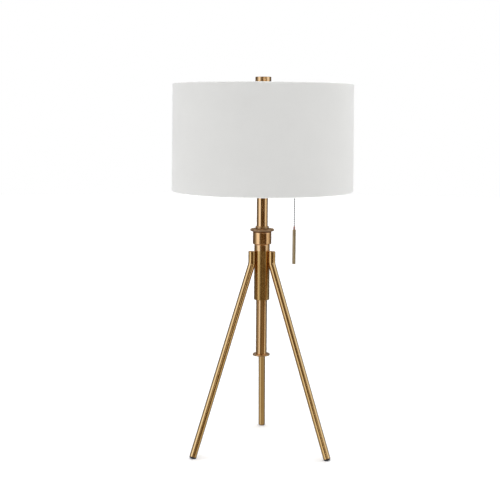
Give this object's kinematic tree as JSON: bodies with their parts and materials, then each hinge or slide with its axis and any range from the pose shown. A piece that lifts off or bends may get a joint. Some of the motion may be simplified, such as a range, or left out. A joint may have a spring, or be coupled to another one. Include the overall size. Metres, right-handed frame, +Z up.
{
  "type": "tripod table lamp",
  "caption": "Adjustable table lamp: drum fabric shade on a telescoping stem clamped by a twist collar in a hub with splayed tube legs, with a side pull-chain switch.",
  "frame": {"origin": "on the table, below the lamp's axis, centre of the box's bottom face", "axes": "+Z up along the stem, +X towards the pull chain, +Y towards the rear leg"},
  "size_m": [0.3855, 0.3854, 0.8048],
  "materials": {
    "brass_satin": "antique brass, brushed along its length under clear lacquer",
    "brass_hub": "antique brass, satin",
    "brass_fittings": "bright rolled brass",
    "bronze": "dark antique brass, satin",
    "nickel": "bright nickel plate",
    "steel": "zinc plated",
    "rubber_black": "matte",
    "plastic_black": "moulded, matte",
    "fibre": "vulcanised fibre",
    "shade_cloth": "fine plain-weave linen-look cloth, white",
    "shade_styrene": "matte white backing sheet",
    "white_wire": "white enamel",
    "frosted_glass": "frosted white"
  },
  "bodies": {
    "base": {"hub_tube": "brass_hub", "leg_left": "brass_satin", "leg_right": "brass_satin", "leg_rear": "brass_satin", "leg_top_plugs": "brass_satin", "leg_screws": "steel", "foot_plugs": "rubber_black", "lower_guide": "plastic_black"},
    "lock_collar": {"lock_collar": "brass_satin", "grip_flange": "brass_satin"},
    "collet": {"split_collet": "brass_satin"},
    "riser": {"riser_tube": "brass_satin", "stop_flange": "brass_satin", "cord_bushing": "plastic_black", "neck_cap": "brass_fittings", "nipple": "brass_fittings", "nipple_nut": "brass_fittings", "harp_saddle": "brass_fittings", "socket_cap": "brass_fittings", "socket_shell": "brass_fittings", "insulating_sleeve": "fibre", "switch_body": "plastic_black", "screw_shell": "nickel", "centre_contact": "brass_fittings", "switch_arm": "brass_fittings", "bell_mouth": "brass_fittings", "harp": "brass_fittings", "harp_stud": "brass_fittings"},
    "front_sleeve": {"harp_sleeve_front": "brass_fittings"},
    "rear_sleeve": {"harp_sleeve_rear": "brass_fittings"},
    "shade": {"shade_fabric": "shade_cloth", "shade_liner": "shade_styrene", "shade_top_ring": "white_wire", "shade_bottom_ring": "white_wire", "shade_spider": "white_wire"},
    "finial": {"finial": "brass_satin"},
    "bulb": {"bulb_glass": "frosted_glass", "bulb_base": "nickel", "bulb_contact": "plastic_black"},
    "switch_link": {"pull_link": "nickel"},
    "top_bead": {"chain_bead": "nickel"},
    "chain": {"pull_chain": "nickel", "chain_coupling": "brass_fittings", "pull_pendant": "bronze"}
  },
  "joints": [
    {"name": "collar_turn", "type": "hinge", "parent": "base", "child": "lock_collar", "pos_m": [0, 0, 0.464], "axis": [0, 0, 1], "range_deg": [0, 180]},
    {"name": "riser_turn", "type": "hinge", "parent": "base", "child": "collet", "pos_m": [0, 0, 0.464], "axis": [0, 0, 1], "continuous": true},
    {"name": "riser_height", "type": "slide", "parent": "collet", "child": "riser", "axis": [0, 0, 1], "range_m": [-0.076, 0.119]},
    {"name": "front_sleeve_lift", "type": "slide", "parent": "riser", "child": "front_sleeve", "axis": [0, 0, 1], "range_m": [0, 0.01]},
    {"name": "rear_sleeve_lift", "type": "slide", "parent": "riser", "child": "rear_sleeve", "axis": [0, 0, 1], "range_m": [0, 0.01]},
    {"name": "shade_turn", "type": "hinge", "parent": "riser", "child": "shade", "pos_m": [0, 0, 0.779], "axis": [0, 0, 1], "continuous": true},
    {"name": "finial_turn", "type": "hinge", "parent": "riser", "child": "finial", "pos_m": [0, 0, 0.79], "axis": [0, 0, 1], "continuous": true},
    {"name": "bulb_turn", "type": "hinge", "parent": "riser", "child": "bulb", "pos_m": [0, 0, 0.62], "axis": [0, 0, 1], "continuous": true},
    {"name": "switch_pull", "type": "slide", "parent": "riser", "child": "switch_link", "axis": [0, 0, -1], "range_m": [0, 0.008], "stiffness_N_per_m": 300, "springref_m": -0.004},
    {"name": "chain_swing_side", "type": "hinge", "parent": "switch_link", "child": "top_bead", "pos_m": [0.0687, 0, 0.587], "axis": [0, 1, 0], "range_deg": [-30, 12]},
    {"name": "chain_swing_front", "type": "hinge", "parent": "top_bead", "child": "chain", "pos_m": [0.0687, 0, 0.587], "axis": [1, 0, 0], "range_deg": [-30, 30]}
  ]
}
